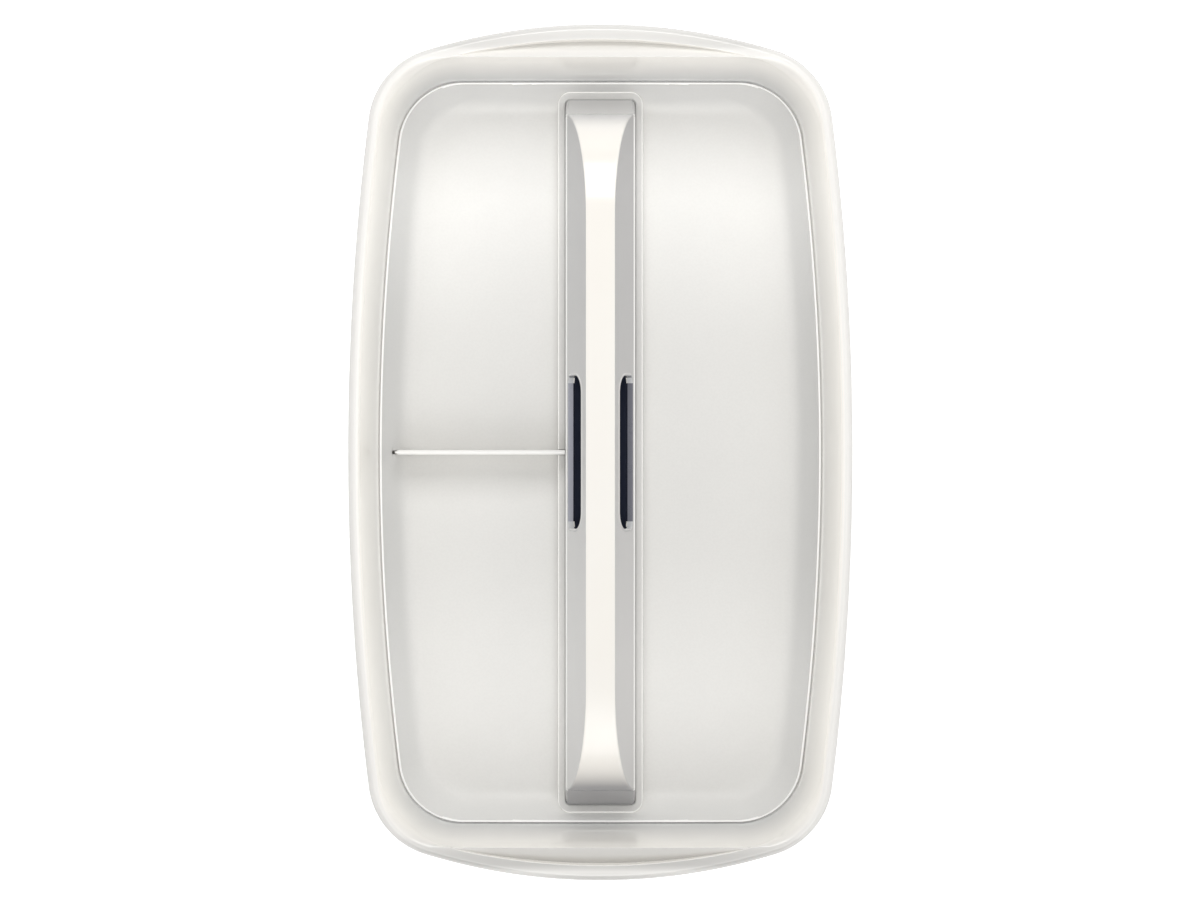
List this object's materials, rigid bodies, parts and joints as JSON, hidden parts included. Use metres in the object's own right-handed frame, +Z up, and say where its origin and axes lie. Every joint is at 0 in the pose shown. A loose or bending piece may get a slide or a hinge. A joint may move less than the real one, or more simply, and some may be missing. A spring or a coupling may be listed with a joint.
{
  "type": "desk organiser tray",
  "caption": "Open rounded-rectangle desk tray with bowed sides, a drop-in matt liner, a hollow carry handle along the middle with finger slots, and a lift-out divider panel.",
  "frame": {"origin": "centre of the footprint on the plane the foot pads stand on", "axes": "+X across the width, +Y along the length and the handle, +Z up"},
  "size_m": [0.181, 0.307, 0.057],
  "materials": {
    "shell_white": "gloss warm white ABS",
    "liner_white": "matt off-white with a fine moulded grain",
    "handle_white": "gloss warm white ABS",
    "grip_dark": "soft matt blue-black",
    "divider_white": "satin white",
    "pad_rubber": "matt grey non-slip rubber",
    "screw_steel": "zinc plated"
  },
  "bodies": {
    "tray": {"tray_shell": "shell_white", "liner_pan": "liner_white", "handle_shell": "handle_white", "grip_sleeve": "grip_dark", "foot_pads": "pad_rubber", "handle_screws": "screw_steel"},
    "divider": {"divider_panel": "divider_white"}
  },
  "joints": [
    {"name": "divider_lift", "type": "slide", "parent": "tray", "child": "divider", "axis": [0, 0, 1], "range_m": [0, 0.06]}
  ]
}
